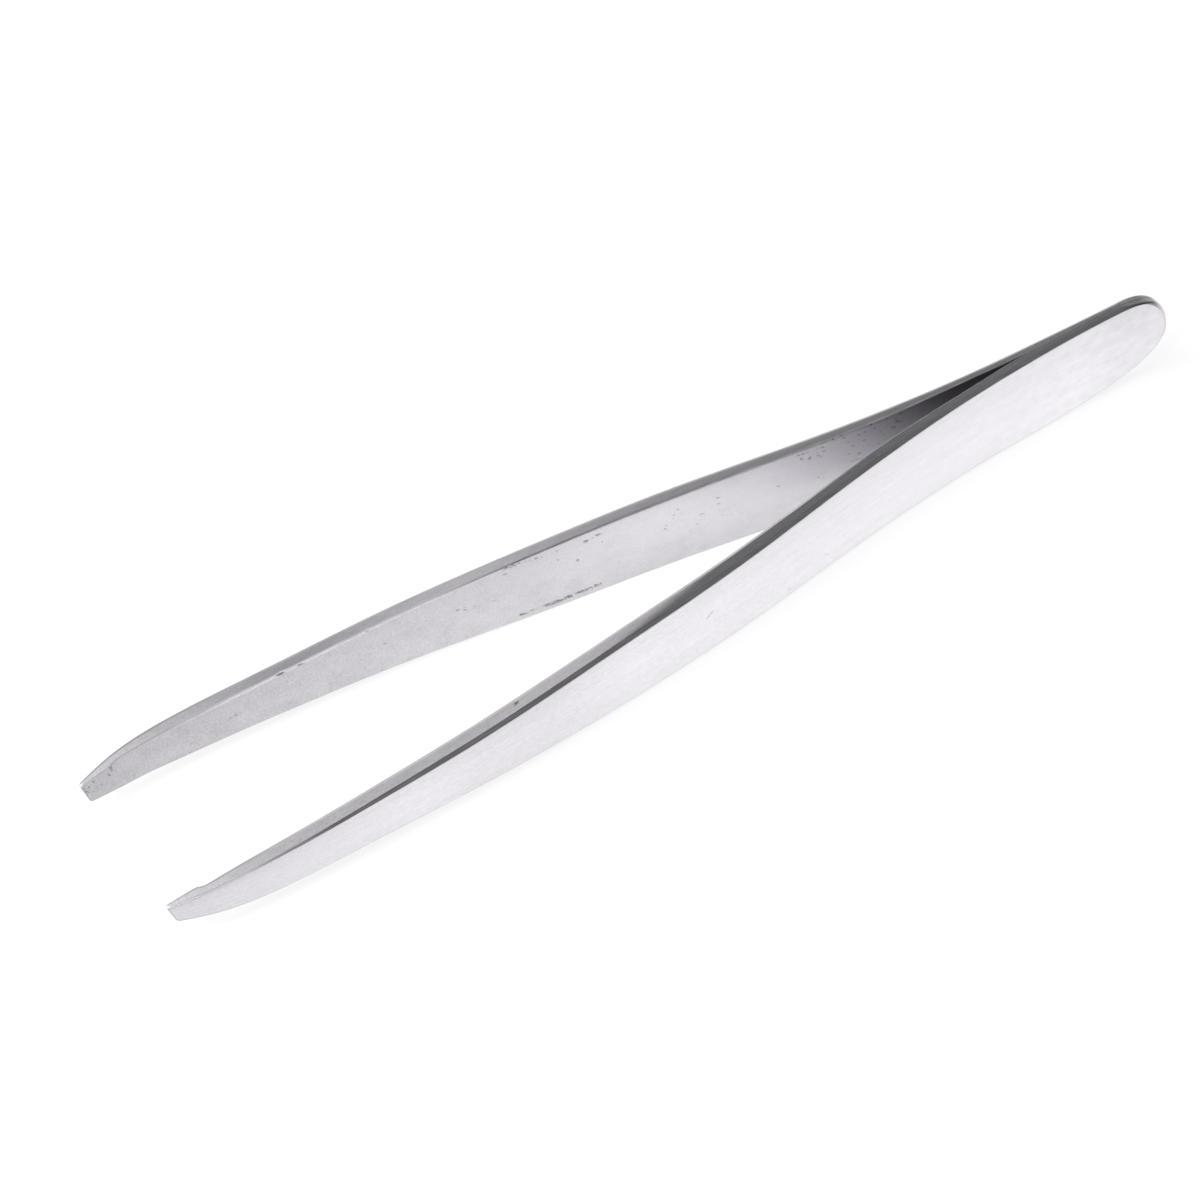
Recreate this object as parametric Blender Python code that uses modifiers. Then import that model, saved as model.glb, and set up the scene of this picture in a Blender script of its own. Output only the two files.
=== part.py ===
"""Slant tweezers: two sprung steel arms, spot-welded to each other at the heel.

Metres, +Z up. The tweezers lie on their lower edges: X runs along them with the tips at -X,
Y is the way they open, and the origin is at the bottom centre of their box. Each arm is one
strip of steel on the real object. Here it is divided at its flexure line into a heel leaf,
which stays with the welds, and an arm, which turns about a vertical axis on that line.
"""

import math

import bmesh
import bpy
import numpy as np
from mathutils import Matrix, Vector

MM = 0.001
LENGTH = 95 * MM  # tip to butt

# Stations along one arm: (distance from the tip, distance from the mid-plane), in mm.
OUTER_FACE = (
    *((0, 7.65), (3, 8.43), (7, 8.91), (16, 8.84), (28, 8.29), (40, 6.98)),
    *((52, 5.34), (62, 3.42), (70, 2.08), (77, 1.27), (84, 0.83), (90, 0.69)),
)
INNER_FACE = (
    *((3, 7.67), (8, 7.63), (16, 7.36), (28, 6.71), (40, 5.48)),
    *((52, 3.89), (62, 2.16), (70, 0.95), (77, 0.42), (82.5, 0.15)),
)

# Stations along one arm: (distance from the tip, height over the resting plane), in mm.
TOP_EDGE = ((0, 3.68), (4, 4.27), (12, 4.82), (24, 5.52), (40, 6.41), (60, 7.19), (80, 8.05), (91, 8.32))
BOTTOM_EDGE = ((0, 2.07), (4, 1.52), (12, 1.14), (28, 0.56), (44, 0.00))

REST_START = BOTTOM_EDGE[-1][0] * MM  # the lower edge meets the resting plane here
REST_END = 80 * MM  # and leaves it here
HEEL_FLAT = OUTER_FACE[-1][0] * MM  # the heel's outer faces are flat from here on
BUTT_START = TOP_EDGE[-1][0] * MM  # the upper edge turns into the rounded butt here
BUTT_HEIGHT = 4.6 * MM  # height of the butt's furthest point
BUTT_POWER = 2.3  # its outline is a little squarer than an ellipse's

SLANT = 0.60 * MM  # the tip's lower corner is this far behind its upper one
JAW_LENGTH = 2.75 * MM  # the raised gripping pad on the inner face
JAW_TIP_GAP = 7.28 * MM  # mid-plane to the pad at the tip
JAW_END_GAP = 7.36 * MM  # mid-plane to the pad at its other end
JAW_STEP = 0.25 * MM  # length of the ramp behind the pad

FLEXURE = 70 * MM  # distance of the flexure line from the tip
FLEXURE_GAP = 0.3 * MM  # running gap between an arm and its heel leaf

ARRIS = 0.28 * MM  # rounding of the outer long edges
INNER_ARRIS = 0.2  # share of it on the inner long edges
TIP_ARRIS = 0.2  # share of it at the tip
ARRIS_REACH = 20 * MM  # the rounding is full from here on

WELD_PLACES = (85.5 * MM, 89.7 * MM)  # distances from the tip
WELD_HEIGHT = 4.6 * MM
WELD_RADIUS = 1.5 * MM
WELD_HALF_DEPTH = 0.2 * MM
WELD_CLEARANCE = 0.25 * MM

WELD_EDGE = 0.1 * MM

STATION_STEP = 1.6 * MM
BUTT_ROWS = 12
DISC_SIDES = 24
SHARP_ANGLE = math.radians(30)


def batten(points):
    """The curve of a thin batten held at the points, as a function of distance in metres.

    The batten is free at its first point and level at its last one.
    """
    place, height = np.array(points).T * MM
    gap = np.diff(place)
    rise = np.diff(height) / gap
    count = len(place)
    system = np.zeros((count, count))
    target = np.zeros(count)
    for i in range(1, count - 1):
        system[i, i - 1 : i + 2] = (gap[i], 2 * (gap[i - 1] + gap[i]), gap[i - 1])
        target[i] = 3 * (gap[i] * rise[i - 1] + gap[i - 1] * rise[i])
    system[0, :2] = (2, 1)
    target[0] = 3 * rise[0]
    system[-1, -1] = 1
    slope = np.linalg.solve(system, target)

    def at(distance):
        i = int(np.clip(np.searchsorted(place, distance) - 1, 0, count - 2))
        t = (min(distance, place[-1]) - place[i]) / gap[i]
        start = height[i] * (1 + 2 * t) + gap[i] * slope[i] * t
        end = height[i + 1] * (3 - 2 * t) - gap[i] * slope[i + 1] * (1 - t)
        return start * (1 - t) ** 2 + end * t**2

    return at


outer_face = batten(OUTER_FACE)
inner_bow = batten(INNER_FACE)
top_edge = batten(TOP_EDGE)
fore_edge = batten(BOTTOM_EDGE)


def inner_face(distance):
    """Mid-plane to the inner face, with the gripping pad at the tip."""
    if distance > JAW_LENGTH + JAW_STEP / 2:
        return inner_bow(distance)
    return JAW_TIP_GAP + (JAW_END_GAP - JAW_TIP_GAP) * distance / JAW_LENGTH


def bottom_edge(distance):
    """Height of the lower edge, which lies on the resting plane from REST_START to REST_END."""
    if distance < REST_END:
        return fore_edge(distance)
    share = (distance - REST_END) / (LENGTH - REST_END)
    return BUTT_HEIGHT * (1 - (1 - share**BUTT_POWER) ** (1 / BUTT_POWER))


def butt_outline(height):
    """Distance from the tip to the rounded butt, which meets the lower edge at REST_END."""
    if height > BUTT_HEIGHT:
        start = BUTT_START
        share = (height - BUTT_HEIGHT) / (top_edge(BUTT_START) - BUTT_HEIGHT)
    else:
        start = REST_END
        share = 1 - height / BUTT_HEIGHT
    return start + (LENGTH - start) * (1 - min(share, 1.0) ** BUTT_POWER) ** (1 / BUTT_POWER)


def section_point(station, row, has_tip, has_butt):
    """Distance from the tip and height of one point of the strip's outline grid.

    Row runs from -1 on the lower edge to 1 on the upper one. The tip is slanted, and the butt
    is drawn out to its rounded outline.
    """
    def height_at(distance):
        level = min(distance, BUTT_START)
        low, high = bottom_edge(level), top_edge(level)
        return (low + high) / 2 + row * (high - low) / 2

    distance = station
    if has_tip and station < JAW_LENGTH:
        distance += SLANT * (1 - row) / 2 * (1 - station / JAW_LENGTH)
    if has_butt and station > REST_END:
        share = (station - REST_END) / (LENGTH - REST_END)
        distance = REST_END + share * (butt_outline(height_at(LENGTH)) - REST_END)
    return distance, height_at(distance)


def stations_between(start, end):
    """Evenly spaced stations, with one wherever a face or an edge changes its rule."""
    turns = (JAW_LENGTH, JAW_LENGTH + JAW_STEP, REST_START, REST_END, HEEL_FLAT)
    fixed = [start, *(place for place in turns if start < place < end), end]
    stations = [start]
    for low, high in zip(fixed, fixed[1:]):
        steps = max(1, round((high - low) / STATION_STEP))
        stations += [low + (high - low) * i / steps for i in range(1, steps + 1)]
    return stations


def steel(name, color, roughness):
    material = bpy.data.materials.new(name)
    material.use_nodes = True
    shader = material.node_tree.nodes["Principled BSDF"]
    shader.inputs["Base Color"].default_value = (*color, 1.0)
    shader.inputs["Metallic"].default_value = 1.0
    shader.inputs["Roughness"].default_value = roughness
    return material


def add_object(name, shape, place, collection):
    """An object with its origin at place, made of a bmesh that is drawn about that origin."""
    mesh = bpy.data.meshes.new(name)
    shape.to_mesh(mesh)
    shape.free()
    mesh.shade_smooth()
    mesh.set_sharp_from_angle(angle=SHARP_ANGLE)
    obj = bpy.data.objects.new(name, mesh)
    obj.location = place
    collection.objects.link(obj)
    return obj


def weigh_arrises(bar, weight, cut_end, side):
    """Give a share of the rounding to the edges round both broad faces, but not at the cut end."""
    for edge in bar.edges:
        broad = [round(face.normal.y) for face in edge.link_faces if abs(face.normal.y) > 0.5]
        if len(broad) == 1 and any(abs(v.co.x - cut_end) > 0.01 for v in edge.verts):
            edge[weight] = 1.0 if broad[0] == side else INNER_ARRIS


def add_strip(name, side, start, end, place, collection):
    """A stretch of one arm, shaped from a box. Side is -1 for the front arm, 1 for the back."""
    has_tip, has_butt = start == 0.0, end == LENGTH
    stations = stations_between(start, end)
    bar = bmesh.new()
    weight = bar.edges.layers.float.new("bevel_weight_edge")
    bmesh.ops.create_cube(bar, size=1.0)
    along = [e for e in bar.edges if abs(e.verts[0].co.x - e.verts[1].co.x) > 0.5]
    bmesh.ops.subdivide_edges(bar, edges=along, cuts=len(stations) - 2, use_grid_fill=True)
    if has_butt:
        upright = [e for e in bar.edges if abs(e.verts[0].co.z - e.verts[1].co.z) > 0.5]
        bmesh.ops.subdivide_edges(bar, edges=upright, cuts=BUTT_ROWS - 1, use_grid_fill=True)
    bar.normal_update()
    weigh_arrises(bar, weight, 0.5 if has_tip else -0.5, side)
    for vertex in bar.verts:
        station = stations[round((vertex.co.x + 0.5) * (len(stations) - 1))]
        row = math.sin(math.pi * vertex.co.z)
        distance, height = section_point(station, row, has_tip, has_butt)
        depth = outer_face(distance) if vertex.co.y * side > 0 else inner_face(distance)
        vertex.co = (distance - LENGTH / 2, side * depth, height)
    for edge in bar.edges:
        distance = (edge.verts[0].co.x + edge.verts[1].co.x + LENGTH) / 2
        edge[weight] *= min(1.0, TIP_ARRIS + (1 - TIP_ARRIS) * distance / ARRIS_REACH)
    bmesh.ops.translate(bar, verts=bar.verts, vec=-place)
    strip = add_object(name, bar, place, collection)
    rounding = strip.modifiers.new("arris", "BEVEL")
    rounding.width = ARRIS
    rounding.segments = 2
    rounding.limit_method = "WEIGHT"
    return strip


def add_disc(name, radius, half_depth, rounding, place, collection):
    """A round disc across the seam between the heel leaves."""
    disc = bmesh.new()
    turn = Matrix.Rotation(math.pi / 2, 4, "X")
    bmesh.ops.create_cone(
        disc,
        cap_ends=True,
        segments=DISC_SIDES,
        radius1=radius,
        radius2=radius,
        depth=2 * half_depth,
        matrix=turn,
    )
    rims = [e for e in disc.edges if abs(e.verts[0].co.y - e.verts[1].co.y) < half_depth]
    if rounding:
        bmesh.ops.bevel(disc, geom=rims, offset=rounding, segments=2, affect="EDGES", profile=0.5)
    return add_object(name, disc, place, collection)


def main():
    for obj in list(bpy.data.objects):
        bpy.data.objects.remove(obj, do_unlink=True)
    parts = bpy.data.collections.new("slant_tweezers")
    cutters = bpy.data.collections.new("cutters")
    for collection in (parts, cutters):
        bpy.context.scene.collection.children.link(collection)

    satin = steel("satin_steel", (0.78, 0.77, 0.79), 0.38)
    heel_satin = steel("heel_satin_steel", (0.78, 0.77, 0.79), 0.36)
    weld_metal = steel("weld_metal", (0.42, 0.40, 0.40), 0.55)

    leaves = []
    for side, name in ((-1, "front"), (1, "back")):
        flexure_depth = (outer_face(FLEXURE) + inner_face(FLEXURE)) / 2
        pivot = Vector((FLEXURE - LENGTH / 2, side * flexure_depth, 0.0))
        arm = add_strip(f"arm_{name}", side, 0.0, FLEXURE - FLEXURE_GAP / 2, pivot, parts)
        arm.data.materials.append(satin)
        seat = Vector((LENGTH / 2, 0.0, 0.0))
        leaf = add_strip(f"heel_{name}", side, FLEXURE + FLEXURE_GAP / 2, LENGTH, seat, parts)
        leaf.data.materials.append(heel_satin)
        leaves.append(leaf)

    for distance, name in zip(WELD_PLACES, ("fore", "aft")):
        place = Vector((distance - LENGTH / 2, 0.0, WELD_HEIGHT))
        weld = add_disc(f"spot_weld_{name}", WELD_RADIUS, WELD_HALF_DEPTH, WELD_EDGE, place, parts)
        weld.data.materials.append(weld_metal)
        pocket_radius = WELD_RADIUS + WELD_CLEARANCE
        pocket_depth = WELD_HALF_DEPTH + WELD_CLEARANCE
        pocket = add_disc(f"weld_pocket_{name}", pocket_radius, pocket_depth, 0.0, place, cutters)
        pocket.hide_render = True
        pocket.display_type = "WIRE"
        for leaf in leaves:
            cut = leaf.modifiers.new(pocket.name, "BOOLEAN")
            cut.operation = "DIFFERENCE"
            cut.object = pocket


main()
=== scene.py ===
import math
import random

import bmesh
import bpy
import numpy as np
from mathutils import Matrix, Vector


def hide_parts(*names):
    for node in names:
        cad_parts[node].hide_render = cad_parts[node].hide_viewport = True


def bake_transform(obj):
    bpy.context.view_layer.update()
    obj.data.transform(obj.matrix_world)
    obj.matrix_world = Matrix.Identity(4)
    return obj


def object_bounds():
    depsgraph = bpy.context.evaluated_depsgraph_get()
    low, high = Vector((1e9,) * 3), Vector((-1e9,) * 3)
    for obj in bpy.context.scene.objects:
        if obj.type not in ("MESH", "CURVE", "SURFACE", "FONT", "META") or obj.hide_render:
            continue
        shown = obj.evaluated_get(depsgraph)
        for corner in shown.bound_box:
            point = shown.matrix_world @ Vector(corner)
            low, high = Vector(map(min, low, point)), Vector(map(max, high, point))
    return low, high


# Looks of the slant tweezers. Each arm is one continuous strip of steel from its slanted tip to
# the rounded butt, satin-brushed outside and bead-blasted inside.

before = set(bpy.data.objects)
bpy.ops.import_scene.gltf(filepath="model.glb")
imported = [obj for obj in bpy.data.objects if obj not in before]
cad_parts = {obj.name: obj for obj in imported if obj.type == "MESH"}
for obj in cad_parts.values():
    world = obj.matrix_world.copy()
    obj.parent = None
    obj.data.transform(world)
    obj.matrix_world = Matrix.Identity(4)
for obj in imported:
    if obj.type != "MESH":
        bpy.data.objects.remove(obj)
cad_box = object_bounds()

MM = 0.001
LENGTH = 95 * MM  # tip to butt
TIP_X = cad_box[0].x

# Along one arm: (distance from the tip, distance from the mid-plane), in mm.
OUTER_FACE = (
    *((0, 7.65), (3, 8.43), (7, 8.91), (16, 8.84), (28, 8.29), (40, 6.98)),
    *((52, 5.34), (62, 3.42), (70, 2.08), (77, 1.27), (84, 0.83), (90, 0.69)),
)
INNER_FACE = (
    *((3, 7.67), (8, 7.63), (16, 7.36), (28, 6.71), (40, 5.48)),
    *((52, 3.89), (62, 2.16), (70, 0.95), (77, 0.36), (82.5, 0.012)),
)

# Along one arm: (distance from the tip, height over the resting plane), in mm.
TOP_EDGE = ((0, 3.68), (4, 4.27), (12, 4.82), (24, 5.52), (40, 6.41), (60, 7.19), (80, 8.05), (91, 8.32))
BOTTOM_EDGE = ((0, 2.07), (4, 1.52), (12, 1.14), (28, 0.56), (44, 0.00))

REST_END = 80 * MM  # the lower edge leaves the resting plane here
BUTT_START = 91 * MM  # the upper edge turns into the rounded butt here
BUTT_HEIGHT = 4.6 * MM  # height of the butt's furthest point
BUTT_POWER = 2.3  # its outline is a little squarer than an ellipse's

SLANT = 0.50 * MM  # the tip's lower corner is this far behind its upper one
PAD_LENGTH = 2.75 * MM  # the raised gripping pad on the inner face
PAD_TIP_GAP = 7.28 * MM  # mid-plane to the pad at the tip
PAD_END_GAP = 7.36 * MM  # mid-plane to the pad at its other end
PAD_STEP = 0.35 * MM  # length of the ramp behind the pad

# Stretches of an arm, as (end, spacing of its stations), in mm. They are finer where it is pitted.
STRETCHES = (
    *((2.75, 0.39), (3.1, 0.35), (37, 0.80), (44, 0.5), (53, 0.5)),
    *((61, 0.80), (70, 0.5), (80, 0.9), (95, 0.94)),
)
ROWS = 16  # rows of faces across an arm's broad side
EDGE_ROW = 0.42 * MM  # height of the first and the last of them

# Roundings of the long edges, as (distance from the tip in mm, share of ARRIS).
ARRIS = 0.28 * MM
OUTER_ARRIS = ((0, 0.15), (8, 0.12), (12, 0.18), (16, 0.45), (20, 0.80), (24, 0.92), (30, 1.0))
INNER_ARRIS = ((0, 0.08), (40, 0.10), (56, 0.35), (68, 0.40), (80, 0.08))
LOWER_ARRIS = ((0, 0.4), (3, 1.1), (16, 1.35))

# The back arm's outer face was ground this much deeper, behind its tip.
BACK_GRIND = 0.10 * MM
GRIND_START = 3 * MM
GRIND_FADE = 6 * MM

# The back jaw was left this much deeper at its lower edge.
JAW_DROP = 0.36 * MM
JAW_DROP_END = 5 * MM

# Its pad runs out gently along that edge instead of ending in a step.
RUNOUT_START = 0.5 * MM
RUNOUT_END = 6 * MM
RUNOUT_RISE = 0.35

ALMOST = 0.999  # keeps a comparison clear of rounding errors

# Material slots of a strip.
OUTER, EDGE, INNER, PAD, ROUND = range(5)


def batten(points):
    """The curve of a thin batten held at the points, free at the first and level at the last."""
    place, height = np.array(points).T * MM
    gap = np.diff(place)
    rise = np.diff(height) / gap
    count = len(place)
    system = np.zeros((count, count))
    target = np.zeros(count)
    for i in range(1, count - 1):
        system[i, i - 1 : i + 2] = (gap[i], 2 * (gap[i - 1] + gap[i]), gap[i - 1])
        target[i] = 3 * (gap[i] * rise[i - 1] + gap[i - 1] * rise[i])
    system[0, :2] = (2, 1)
    target[0] = 3 * rise[0]
    system[-1, -1] = 1
    slope = np.linalg.solve(system, target)

    def at(distance):
        distance = np.minimum(distance, place[-1])
        i = np.clip(np.searchsorted(place, distance) - 1, 0, count - 2)
        t = (distance - place[i]) / gap[i]
        start = height[i] * (1 + 2 * t) + gap[i] * slope[i] * t
        end = height[i + 1] * (3 - 2 * t) - gap[i] * slope[i + 1] * (1 - t)
        return start * (1 - t) ** 2 + end * t**2

    return at


outer_face = batten(OUTER_FACE)
inner_bow = batten(INNER_FACE)
top_edge = batten(TOP_EDGE)
fore_edge = batten(BOTTOM_EDGE)


def inner_face(distance):
    pad = PAD_TIP_GAP + (PAD_END_GAP - PAD_TIP_GAP) * distance / PAD_LENGTH
    return np.where(distance > PAD_LENGTH + PAD_STEP / 2, inner_bow(distance), pad)


def bottom_edge(distance):
    share = np.clip((distance - REST_END) / (LENGTH - REST_END), 0, 1)
    butt = BUTT_HEIGHT * (1 - (1 - share**BUTT_POWER) ** (1 / BUTT_POWER))
    return np.where(distance < REST_END, fore_edge(distance), butt)


def butt_outline(height):
    top = top_edge(BUTT_START)
    above = height > BUTT_HEIGHT
    share = np.where(above, (height - BUTT_HEIGHT) / (top - BUTT_HEIGHT), 1 - height / BUTT_HEIGHT)
    start = np.where(above, BUTT_START, REST_END)
    reach = (1 - np.clip(share, 0, 1) ** BUTT_POWER) ** (1 / BUTT_POWER)
    return start + (LENGTH - start) * reach


def height_at(distance, row):
    level = np.minimum(distance, BUTT_START)
    low, high = bottom_edge(level), top_edge(level)
    return (low + high) / 2 + row * (high - low) / 2


def outline_grid(station, row):
    """Distance from the tip and height of the points of a strip's outline grid."""
    slant = SLANT * (1 - row) / 2 * np.clip(1 - station / PAD_LENGTH, 0, 1)
    distance = station + slant
    share = np.clip((station - REST_END) / (LENGTH - REST_END), 0, 1)
    drawn = REST_END + share * (butt_outline(height_at(LENGTH, row)) - REST_END)
    distance = np.where(station > REST_END, drawn, distance)
    return distance, height_at(distance, row)


def all_stations():
    stations = [0.0]
    for end, step in STRETCHES:
        low, high = stations[-1], end * MM
        steps = max(1, round((high - low) / (step * MM)))
        stations += [low + (high - low) * i / steps for i in range(1, steps + 1)]
    return np.array(stations)


def split_edges(bar, axis, cuts):
    """Divide every edge of a unit box that runs along one axis."""
    edges = [e for e in bar.edges if abs(e.verts[0].co[axis] - e.verts[1].co[axis]) > 0.5]
    bmesh.ops.subdivide_edges(bar, edges=edges, cuts=cuts, use_grid_fill=True)


def share_along(profile, distance):
    place, share = zip(*profile)
    return float(np.interp(distance / MM, place, share))


def arris_weight(place, is_outer):
    """The share of ARRIS by which an edge of the strip is rounded, at a place on it."""
    distance = place.x - TIP_X
    if not is_outer:
        return share_along(INNER_ARRIS, distance)
    rise = min(1, max(0, place.z / top_edge(min(distance, BUTT_START))))
    return share_along(OUTER_ARRIS, distance) * rise + share_along(LOWER_ARRIS, distance) * (1 - rise)


def strip_cage(side, stations):
    """The strip's coarse cage, with material slots and arris weights. Side is -1 in front."""
    bar = bmesh.new()
    weight = bar.edges.layers.float.new("bevel_weight_edge")
    bmesh.ops.create_cube(bar, size=1.0)
    split_edges(bar, 0, len(stations) - 2)
    split_edges(bar, 2, ROWS - 1)
    bar.normal_update()
    pad_end = np.searchsorted(stations, PAD_LENGTH * ALMOST) / (len(stations) - 1) - 0.5
    for face in bar.faces:
        if abs(face.normal.y) < 0.5:
            face.material_index = EDGE
        elif round(face.normal.y) == side:
            face.material_index = OUTER
        elif face.calc_center_median().x < pad_end:
            face.material_index = PAD
        else:
            face.material_index = INNER
    points = np.array([v.co for v in bar.verts])
    station = stations[np.rint((points[:, 0] + 0.5) * (len(stations) - 1)).astype(int)]
    line = np.rint((points[:, 2] + 0.5) * ROWS).astype(int)
    level = np.minimum(station, BUTT_START)
    border = EDGE_ROW / (top_edge(level) - bottom_edge(level))
    between = border + (1 - 2 * border) * (line - 1) / (ROWS - 2)
    rise = np.select([line == 0, line == ROWS], [0, 1], between)
    distance, height = outline_grid(station, 2 * rise - 1)
    outer, inner = outer_face(distance), inner_face(distance)
    if side > 0:
        height -= JAW_DROP * np.clip(1 - distance / JAW_DROP_END, 0, 1) * (1 - rise)
        outer -= BACK_GRIND * np.clip((distance - GRIND_START) / GRIND_FADE, 0, 1)
        ramp = np.interp(distance, (RUNOUT_START, RUNOUT_END), (PAD_TIP_GAP, inner_bow(RUNOUT_END)))
        low = np.clip(1 - rise / RUNOUT_RISE, 0, 1) * (distance < RUNOUT_END)
        inner += (ramp - inner) * low
    depth = np.where(points[:, 1] * side > 0, outer, inner)
    for vertex, x, y, z in zip(bar.verts, TIP_X + distance, side * depth, height):
        vertex.co = (x, y, z)
    for edge in bar.edges:
        slots = {face.material_index for face in edge.link_faces}
        if EDGE in slots and len(slots) == 2:
            middle = (edge.verts[0].co + edge.verts[1].co) / 2
            edge[weight] = arris_weight(middle, OUTER in slots)
    return bar


def applied(obj):
    """The object, with its modifiers applied to its mesh."""
    bpy.context.view_layer.update()
    evaluated = obj.evaluated_get(bpy.context.evaluated_depsgraph_get())
    mesh = bpy.data.meshes.new_from_object(evaluated)
    obj.modifiers.clear()
    old = obj.data
    obj.data = mesh
    bpy.data.meshes.remove(old)
    return obj


class Surface:
    """The points of a finished arm, to dent them and to paint values on them."""

    def __init__(self, arm, side):
        self.mesh = arm.data
        self.side = side
        count = len(self.mesh.vertices)
        self.points = np.empty(count * 3)
        self.mesh.vertices.foreach_get("co", self.points)
        self.points = self.points.reshape(-1, 3)
        self.rest = self.points.copy()
        self.normals = np.empty(count * 3)
        self.mesh.vertices.foreach_get("normal", self.normals)
        self.normals = self.normals.reshape(-1, 3)
        self.distance = self.points[:, 0] - TIP_X
        self.dark = np.zeros(count)

    def place(self, face, distance, across):
        """A point at a height on a face, or on the top at a distance from the mid-plane, in mm."""
        distance, across = distance * MM, across * MM
        if face == "top":
            return np.array((TIP_X + distance, self.side * across, top_edge(distance)))
        depth = {"inner": inner_face, "outer": outer_face}[face](distance)
        return np.array((TIP_X + distance, self.side * depth, across))

    def dent(self, face, start, end, radius, depth, dark=1.0):
        """Sink a groove between two places, all in mm."""
        near, far = self.place(face, *start), self.place(face, *end)
        along = far - near
        share = np.clip((self.rest - near) @ along / max(along @ along, 1e-12), 0, 1)
        away = np.linalg.norm(self.rest - near - share[:, None] * along, axis=1) / (radius * MM)
        hollow = np.clip(1 - away**2, 0, 1) ** 2
        self.points -= self.normals * (hollow * depth * MM)[:, None]
        self.dark = np.maximum(self.dark, np.sqrt(hollow) * dark)

    def pits(self, seed, face, start, end, count, spread, size):
        """Scatter small pits along a line, up to a spread to either side of it, all in mm."""
        rng = random.Random(seed)
        for _ in range(count):
            share = rng.random()
            distance = start[0] + (end[0] - start[0]) * share
            across = start[1] + (end[1] - start[1]) * share + rng.uniform(-spread, spread)
            half = rng.uniform(0, 0.9) * size
            tail = (distance + half, across + rng.uniform(-0.3, 0.3) * size)
            radius = rng.uniform(0.7, 1.3) * size
            self.dent(face, (distance - half, across), tail, radius, radius / 3, rng.uniform(0.4, 1.0))

    def ripple(self, height, length, seed):
        """Let the faces undulate very slightly, as hand-ground steel does."""
        rng = random.Random(seed)
        total = np.zeros(len(self.points))
        for octave in range(3):
            turn, lift = rng.uniform(0, 6.28), rng.uniform(-0.4, 0.4)
            phase = self.distance / (length * MM) * 2**octave + self.rest[:, 2] / MM * lift
            total += np.sin(6.28 * phase + turn) / 2**octave
        total *= np.clip(self.distance / (8 * MM), 0, 1)
        self.points += self.normals * (total * height * MM)[:, None]

    def paint(self, name, values):
        layer = self.mesh.attributes.new(name, "FLOAT", "POINT")
        layer.data.foreach_set("value", np.ascontiguousarray(values, dtype=np.float32))

    def finish(self, polish, shine):
        self.mesh.vertices.foreach_set("co", self.points.ravel())
        layer = self.mesh.attributes.new("rest", "FLOAT_VECTOR", "POINT")
        place = (self.rest - (TIP_X, 0, 0)) / MM
        layer.data.foreach_set("vector", np.ascontiguousarray(place.ravel(), dtype=np.float32))
        self.paint("dark", self.dark)
        inner, outer = inner_face(self.distance), outer_face(self.distance)
        outward = np.clip((np.abs(self.rest[:, 1]) - inner) / (outer - inner), 0, 1)
        self.paint("polish", polish(self.distance / MM, outward))
        self.paint("shine", shine(self.distance / MM, outward))
        level = np.minimum(self.distance, BUTT_START)
        low, high = bottom_edge(level), top_edge(level)
        self.paint("rise", (self.rest[:, 2] - low) / (high - low))
        self.mesh.update()


def build_arm(name, side, materials):
    cage = strip_cage(side, all_stations())
    mesh = bpy.data.meshes.new(name)
    cage.to_mesh(mesh)
    cage.free()
    arm = bpy.data.objects.new(name, mesh)
    bpy.context.scene.collection.objects.link(arm)
    for material in materials:
        mesh.materials.append(material)
    mesh.shade_smooth()
    rounding = arm.modifiers.new("arris", "BEVEL")
    rounding.width = ARRIS
    rounding.segments = 2
    rounding.limit_method = "WEIGHT"
    rounding.use_clamp_overlap = False
    rounding.material = ROUND
    smooth = arm.modifiers.new("smooth", "SUBSURF")
    smooth.levels = smooth.render_levels = 2
    arm.modifiers.new("normals", "WEIGHTED_NORMAL")
    return applied(arm)


def front_polish(distance, outward):
    """The front arm's edge is polished towards the heel, and first along its outer side."""
    return np.clip((distance - 47 + 13 * outward) / 7, 0, 1)


def back_polish(distance, outward):
    dulled = np.clip(1 - abs(distance - 19) / 9, 0, 1)
    return np.clip((distance - 36) / 45, 0, 0.8) + 0.3 * dulled


def front_shine(distance, outward):
    """The front arm's outer arris is polished all along, but for its tip."""
    return np.clip(np.where(outward > 0.5, (distance - 6) / 8, (distance - 60) / 6), 0, 1)


def back_shine(distance, outward):
    return np.clip(np.where(outward > 0.5, 0.25, (distance - 30) / 12), 0, 0.6)


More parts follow.
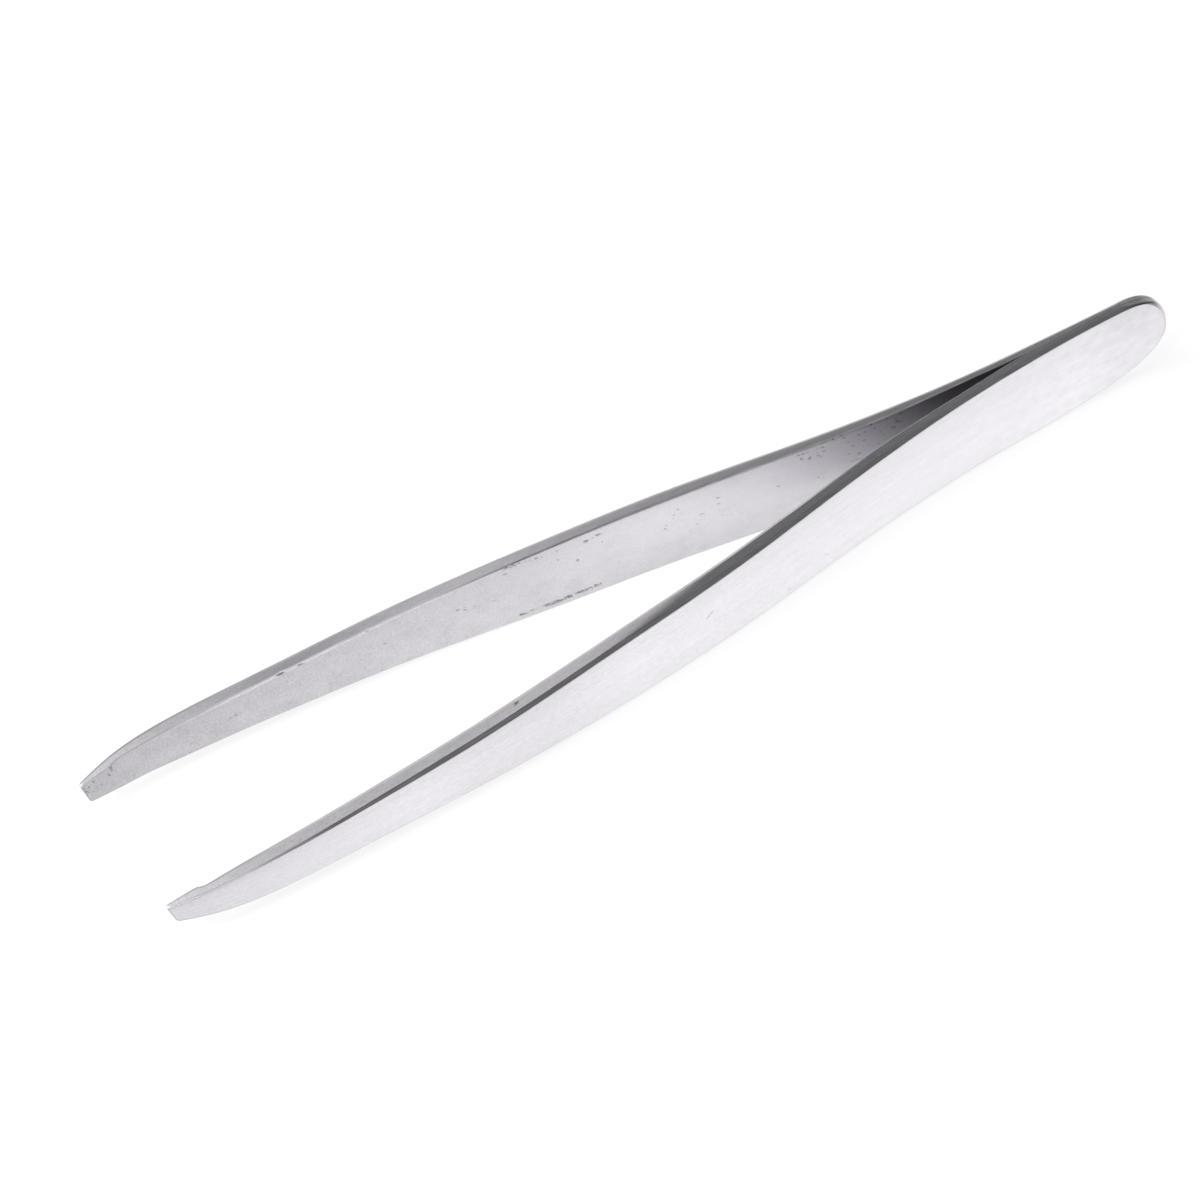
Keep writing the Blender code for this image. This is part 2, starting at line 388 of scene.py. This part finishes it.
def wear_back(surface):
    """The back arm's inner side is pitted by rust under its blasting, most of all near its edges."""
    surface.ripple(0.004, 23, 3)
    surface.pits(11, "inner", (37.3, 0.72), (39.8, 0.64), 16, 0.10, 0.075)
    surface.pits(24, "inner", (39.4, 0.60), (44.4, 0.70), 95, 0.13, 0.075)
    surface.pits(12, "inner", (36.8, 6.20), (41.4, 5.88), 16, 0.10, 0.075)
    surface.pits(13, "inner", (43.4, 5.72), (45.0, 5.98), 12, 0.08, 0.085)
    surface.pits(14, "inner", (61.5, 6.50), (70.5, 6.60), 34, 0.85, 0.085)
    surface.pits(15, "inner", (63.0, 4.60), (69.0, 4.20), 20, 1.10, 0.07)
    surface.pits(16, "inner", (12.6, 2.90), (13.6, 3.10), 5, 0.25, 0.07)
    surface.pits(17, "inner", (32.4, 3.60), (34.0, 3.70), 7, 0.30, 0.05)
    surface.pits(18, "inner", (50.0, 3.70), (52.0, 6.00), 8, 0.50, 0.06)
    surface.pits(20, "inner", (5.0, 3.00), (60.0, 4.00), 60, 1.80, 0.045)
    surface.dent("inner", (42.78, 4.11), (42.84, 4.12), 0.13, 0.04, 0.7)
    surface.dent("inner", (36.8, 5.59), (36.9, 5.60), 0.10, 0.03, 0.6)
    surface.dent("inner", (2.74, 4.45), (2.86, 3.62), 0.14, 0.08)
    surface.dent("inner", (2.45, 3.50), (2.50, 3.36), 0.10, 0.04, 0.6)
    surface.dent("inner", (1.70, 2.82), (1.72, 2.80), 0.10, 0.03, 0.5)
    surface.pits(19, "inner", (0.25, 3.40), (0.45, 2.60), 8, 0.25, 0.06)
    surface.pits(25, "inner", (0.50, 3.10), (2.20, 2.90), 20, 0.60, 0.045)
    surface.dent("top", (17.5, 7.36), (17.9, 7.38), 0.13, 0.08)
    surface.dent("top", (19.2, 7.24), (19.5, 7.24), 0.12, 0.05, 0.5)
    surface.dent("top", (25.0, 6.92), (25.2, 6.90), 0.10, 0.04, 0.5)


def wear_front(surface):
    surface.ripple(0.004, 27, 5)
    surface.dent("top", (30.5, 6.90), (30.7, 6.90), 0.11, 0.05, 0.9)
    surface.dent("outer", (47.9, 3.70), (48.5, 4.00), 0.07, 0.02, 0.5)
    surface.dent("outer", (86.7, 2.75), (86.75, 2.76), 0.08, 0.02, 0.4)
    surface.pits(21, "outer", (52.0, 1.20), (60.0, 1.40), 5, 0.60, 0.04)
    surface.pits(22, "inner", (20.0, 2.50), (60.0, 4.00), 30, 2.00, 0.06)


MAP_RANGE_SOCKETS = ("From Min", "From Max", "To Min", "To Max")

# A noise texture's values lie mostly between these two.
NOISE_LOW = 0.3
NOISE_HIGH = 0.7


class Shader:
    """A small helper to build a steel's nodes. Places are in mm, from the tip."""

    def __init__(self, name, painted=True):
        self.material = bpy.data.materials.new(name)
        self.material.use_nodes = True
        self.tree = self.material.node_tree
        self.surface = self.tree.nodes["Principled BSDF"]
        if painted:
            self.place = self.node("ShaderNodeAttribute", attribute_name="rest").outputs["Vector"]
        else:
            self.place = self.node("ShaderNodeTexCoord").outputs["Object"]

    def node(self, kind, **settings):
        node = self.tree.nodes.new(kind)
        for key, value in settings.items():
            setattr(node, key, value)
        return node

    def plug(self, source, socket):
        if isinstance(source, (int, float, tuple)):
            socket.default_value = source
        else:
            self.tree.links.new(source, socket)

    def painted(self, name):
        return self.node("ShaderNodeAttribute", attribute_name=name).outputs["Fac"]

    def noise(self, scale, detail=2.0, tilt=0.0, roughness=0.5):
        mapping = self.node("ShaderNodeMapping")
        mapping.inputs["Rotation"].default_value = (0, math.radians(tilt), 0)
        mapping.inputs["Scale"].default_value = scale
        self.plug(self.place, mapping.inputs["Vector"])
        texture = self.node("ShaderNodeTexNoise")
        texture.inputs["Scale"].default_value = 1.0
        texture.inputs["Detail"].default_value = detail
        texture.inputs["Roughness"].default_value = roughness
        self.plug(mapping.outputs["Vector"], texture.inputs["Vector"])
        return texture.outputs["Fac"]

    def remap(self, value, low, high, to_low, to_high):
        node = self.node("ShaderNodeMapRange", clamp=True)
        self.plug(value, node.inputs["Value"])
        for socket, number in zip(MAP_RANGE_SOCKETS, (low, high, to_low, to_high)):
            self.plug(number, node.inputs[socket])
        return node.outputs["Result"]

    def spread(self, noise, to_low, to_high):
        """A noise, spread between two values."""
        return self.remap(noise, NOISE_LOW, NOISE_HIGH, to_low, to_high)

    def fade(self, start, end, to_low, to_high):
        """From one value to another between two distances from the tip."""
        return self.remap(self.along(), start, end, to_low, to_high)

    def lift(self, low, high, to_low, to_high):
        """From one value to another between two shares of the arm's height."""
        return self.remap(self.painted("rise"), low, high, to_low, to_high)

    def mix(self, share, first, second):
        node = self.node("ShaderNodeMix", data_type="RGBA")
        self.plug(share, node.inputs["Factor"])
        self.plug(first, node.inputs[6])
        self.plug(second, node.inputs[7])
        return node.outputs[2]

    def sum_or_product(self, operation, values):
        result = values[0]
        for value in values[1:]:
            node = self.node("ShaderNodeMath", operation=operation)
            self.plug(result, node.inputs[0])
            self.plug(value, node.inputs[1])
            result = node.outputs["Value"]
        return result

    def total(self, *values):
        return self.sum_or_product("ADD", values)

    def product(self, *values):
        return self.sum_or_product("MULTIPLY", values)

    def along(self):
        node = self.node("ShaderNodeSeparateXYZ")
        self.plug(self.place, node.inputs["Vector"])
        return node.outputs["X"]

    def bump(self, height, distance, strength):
        node = self.node("ShaderNodeBump")
        node.inputs["Strength"].default_value = strength
        node.inputs["Distance"].default_value = distance
        self.plug(height, node.inputs["Height"])
        return node.outputs["Normal"]

    def finish(self, color, roughness, normal, metallic=1.0):
        self.plug(color, self.surface.inputs["Base Color"])
        self.plug(roughness, self.surface.inputs["Roughness"])
        self.plug(normal, self.surface.inputs["Normal"])
        self.surface.inputs["Metallic"].default_value = metallic
        return self.material


# Colours of the steel, and of the rust and shade in its pits; the darkest also serves for painted shade
# and a painted dark reflection.
STEEL_DARK = (0.60, 0.585, 0.62, 1)
STEEL_LIGHT = (0.88, 0.86, 0.905, 1)
STEEL_BRIGHT = (0.95, 0.93, 0.975, 1)
STEEL_BLASTED = (0.45, 0.44, 0.46, 1)
STEEL_WORN = (0.55, 0.54, 0.565, 1)
RUST_AND_SHADE = (0.10, 0.09, 0.10, 1)
WELD_DARK = (0.30, 0.27, 0.26, 1)
WELD_LIGHT = (0.45, 0.42, 0.41, 1)


def satin_steel():
    """The outer faces, brushed lengthwise. They are darker at the tip and at the butt, painted darker
    along the top as painted shade, and painted lighter low down towards the heel as painted reflection.
    """
    s = Shader("satin_brushed_steel")
    fine = s.noise((0.25, 1, 9), detail=3, tilt=2.5)
    broad = s.noise((0.10, 1, 2.2), detail=3, tilt=1.5)
    blotch = s.noise((0.9, 1, 1.2), detail=3)
    grain = s.noise((2.5, 1, 8), detail=2)
    tone = s.total(
        s.fade(0, 20, 0.20, 0.62),
        s.fade(22, 26, 0, -0.10),
        s.fade(33, 40, 0, 0.20),
        s.fade(86, 91, 0, -0.20),
        s.spread(fine, -0.07, 0.07),
        s.spread(broad, -0.05, 0.05),
        s.product(s.spread(grain, -0.12, 0.12), s.fade(50, 75, 1, 0.4)),
        s.product(s.remap(blotch, 0.35, 0.65, -0.08, 0.08), s.fade(70, 88, 0.2, 1)),
        # painted shade along the top, and a painted reflection lightening the lower part towards the heel
        s.lift(0.62, 0.95, 0, -0.16),
        s.product(s.lift(0.2, 0.6, 0.12, 0), s.fade(40, 60, 0, 1)),
    )
    steel = s.mix(tone, STEEL_DARK, STEEL_BRIGHT)
    roughness = s.spread(fine, 0.30, 0.40)
    return s.finish(s.mix(s.painted("dark"), steel, RUST_AND_SHADE), roughness, s.bump(fine, 0.00002, 0.35))


def butt_painted_dark_reflection(s):
    """The rounded top of the butt is painted darker, as a painted dark reflection."""
    return s.product(s.fade(90.5, 92.5, 0, 1), s.fade(93.8, 94.5, 0.7, 0), s.lift(0.55, 0.75, 0, 1))


def ground_steel():
    """The narrow edges, ground and then partly polished."""
    s = Shader("ground_edge_steel")
    scratch = s.noise((0.8, 6, 6), detail=4, roughness=0.6)
    grain = s.noise((5, 6, 6), detail=2)
    tone = s.total(
        s.spread(scratch, 0.34, 0.76),
        s.fade(4, 16, 0.30, 0),
        s.fade(27, 32, 0, 0.25),
        s.fade(36, 42, 0, -0.25),
        s.product(s.spread(grain, -0.25, 0.25), s.fade(15, 50, 1, 0.5)),
    )
    steel = s.mix(tone, STEEL_DARK, STEEL_LIGHT)
    # painted dark reflection on the butt's rounded top
    steel = s.mix(butt_painted_dark_reflection(s), steel, RUST_AND_SHADE)
    roughness = s.remap(s.painted("polish"), 0, 1, 0.50, 0.22)
    return s.finish(s.mix(s.painted("dark"), steel, RUST_AND_SHADE), roughness, s.bump(scratch, 0.00003, 0.5))


def blasted_steel(name, tones, roughness):
    """Matt steel, with painted shade where the arms come together towards the heel, and painted darker
    low down and lighter high up towards the heel.
    """
    s = Shader(name)
    grain = s.noise((6, 6, 6), detail=3, roughness=0.6)
    mottle = s.noise((0.5, 0.5, 0.7), detail=4)
    tone = s.total(
        s.fade(8, 50, *tones),
        s.product(s.spread(grain, -0.18, 0.18), s.fade(20, 55, 1, 0.4)),
        s.spread(mottle, -0.12, 0.12),
        # painted light and shade: towards the heel the face is painted darker low down and lighter high
        # up
        s.product(s.lift(0.1, 0.8, -0.20, 0.28), s.fade(38, 50, 0, 1)),
    )
    steel = s.mix(tone, STEEL_BLASTED, STEEL_LIGHT)
    # painted shade in the narrow gap towards the heel, stronger towards the top of the face
    depth = s.total(s.fade(59, 76, 0, 0.50), s.spread(mottle, -0.06, 0.06))
    steel = s.mix(s.product(depth, s.lift(0.4, 0.85, 0.3, 1)), steel, RUST_AND_SHADE)
    rough = s.spread(mottle, *roughness)
    return s.finish(s.mix(s.painted("dark"), steel, RUST_AND_SHADE), rough, s.bump(grain, 0.00003, 0.6))


def arris_steel():
    """The rounded long edges, matt where they are not painted shiny."""
    s = Shader("tumbled_arris_steel")
    scratch = s.noise((0.4, 4, 4), detail=3)
    shine = s.painted("shine")
    shiny = s.mix(s.spread(scratch, 0.1, 0.4), STEEL_DARK, STEEL_LIGHT)
    matt = s.mix(s.fade(3, 14, 0, 1), STEEL_WORN, STEEL_LIGHT)
    steel = s.mix(shine, matt, shiny)
    # painted dark reflection on the butt's rounded top
    steel = s.mix(butt_painted_dark_reflection(s), steel, RUST_AND_SHADE)
    roughness = s.total(s.remap(shine, 0, 1, 0.50, 0.18), s.spread(scratch, 0, 0.08))
    return s.finish(s.mix(s.painted("dark"), steel, RUST_AND_SHADE), roughness, s.bump(scratch, 0.00001, 0.3))


def weld_steel():
    """The weld nuggets, which have no painted places, so their noise is per metre."""
    s = Shader("weld_steel", painted=False)
    grain = s.noise((3000, 3000, 3000), detail=3)
    color = s.mix(s.spread(grain, 0, 1), WELD_DARK, WELD_LIGHT)
    return s.finish(color, 0.55, s.bump(grain, 0.00003, 0.5))


# The camera looks at this point, which is (distance from the tip, distance from the mid-plane, height).
CAMERA_TARGET = (43.69 * MM, 4.06 * MM, 0.02 * MM)
CAMERA_ANGLES = (-24.07, 45.0, -8.93)  # azimuth, elevation and roll, in degrees
CAMERA_DISTANCE = 354.7 * MM
LENS = 135
SENSOR_WIDTH = 36

FLOOR_SIZE = 4
FLOOR_GLOW = 0.80  # it shines faintly, as a lit paper sweep does
FLOOR_DARK = (0.20, 0.20, 0.20, 1)
FLOOR_LIGHT = (0.22, 0.22, 0.22, 1)

KEY_PLACE = (-0.55, -0.1, 0.8)
KEY_SIZE = (0.9, 0.9)
KEY_POWER = 14

# The studio is dim overhead and bright near the horizon behind the tweezers, as (from, to, value, value).
STUDIO_DIM = 0.155
STUDIO_LOW = (0.2, 0.6, 0.85, 0.0)
STUDIO_BEHIND = (-0.1, 0.4, 0.0, 1.0)


def add_camera():
    azimuth, elevation, roll = (math.radians(angle) for angle in CAMERA_ANGLES)
    target = Vector((TIP_X, 0, 0)) + Vector(CAMERA_TARGET)
    out = math.cos(elevation)
    back = Vector((math.sin(azimuth) * out, -math.cos(azimuth) * out, math.sin(elevation)))
    right = Vector((math.cos(azimuth), math.sin(azimuth), 0))
    turn = Matrix.Rotation(roll, 3, back)
    axes = Matrix((turn @ right, turn @ back.cross(right), back)).transposed()
    data = bpy.data.cameras.new("camera")
    data.lens = LENS
    data.sensor_width = SENSOR_WIDTH
    camera = bpy.data.objects.new("camera", data)
    camera.matrix_world = Matrix.LocRotScale(target + back * CAMERA_DISTANCE, axes.to_quaternion(), None)
    bpy.context.scene.collection.objects.link(camera)
    bpy.context.scene.camera = camera


def add_floor():
    bpy.ops.mesh.primitive_plane_add(size=FLOOR_SIZE)
    floor = bpy.context.object
    floor.name = "floor"
    s = Shader("pale_floor", painted=False)
    tone = s.noise((2, 2, 2))
    color = s.mix(tone, FLOOR_DARK, FLOOR_LIGHT)
    s.surface.inputs["Emission Color"].default_value = (1, 1, 1, 1)
    s.surface.inputs["Emission Strength"].default_value = FLOOR_GLOW
    s.surface.inputs["Specular IOR Level"].default_value = 0.0
    floor.data.materials.append(s.finish(color, 0.8, s.bump(tone, 0.0001, 0.1), metallic=0.0))


def add_softbox(name, place, size, power):
    data = bpy.data.lights.new(name, "AREA")
    data.shape = "RECTANGLE"
    data.size, data.size_y = size
    data.energy = power
    light = bpy.data.objects.new(name, data)
    light.location = place
    light.rotation_euler = (-Vector(place)).to_track_quat("-Z", "Y").to_euler()
    bpy.context.scene.collection.objects.link(light)


def add_world():
    world = bpy.data.worlds.new("studio")
    bpy.context.scene.world = world
    world.use_nodes = True
    tree = world.node_tree
    direction = tree.nodes.new("ShaderNodeTexCoord")
    axes = tree.nodes.new("ShaderNodeSeparateXYZ")
    low = tree.nodes.new("ShaderNodeMapRange")
    behind = tree.nodes.new("ShaderNodeMapRange")
    strength = tree.nodes.new("ShaderNodeMath")
    strength.operation = "MULTIPLY_ADD"
    strength.inputs[2].default_value = STUDIO_DIM
    for fade, reach in ((low, STUDIO_LOW), (behind, STUDIO_BEHIND)):
        fade.interpolation_type = "SMOOTHSTEP"
        for socket, number in zip(MAP_RANGE_SOCKETS, reach):
            fade.inputs[socket].default_value = number
    tree.links.new(direction.outputs["Generated"], axes.inputs["Vector"])
    tree.links.new(axes.outputs["Z"], low.inputs["Value"])
    tree.links.new(axes.outputs["Y"], behind.inputs["Value"])
    tree.links.new(low.outputs["Result"], strength.inputs[0])
    tree.links.new(behind.outputs["Result"], strength.inputs[1])
    tree.links.new(strength.outputs["Value"], tree.nodes["Background"].inputs["Strength"])
    tree.nodes["Background"].inputs["Color"].default_value = (1, 1, 1, 1)


bpy.context.scene.view_settings.view_transform = "Standard"
steels = (
    satin_steel(),
    ground_steel(),
    blasted_steel("blasted_inner_steel", (0.20, 0.62), (0.30, 0.40)),
    blasted_steel("gripping_pad_steel", (0.32, 0.60), (0.50, 0.62)),
    arris_steel(),
)
for side, name, wear, polish, shine in (
    (-1, "front", wear_front, front_polish, front_shine),
    (1, "back", wear_back, back_polish, back_shine),
):
    arm = build_arm(f"{name}_arm", side, steels)
    surface = Surface(arm, side)
    wear(surface)
    surface.finish(polish, shine)
    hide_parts(f"arm_{name}", f"heel_{name}")
    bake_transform(arm)
weld = weld_steel()
for name in ("spot_weld_fore", "spot_weld_aft"):
    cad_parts[name].data.materials.clear()
    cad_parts[name].data.materials.append(weld)

add_camera()
add_floor()
add_softbox("key", KEY_PLACE, KEY_SIZE, KEY_POWER)
add_world()
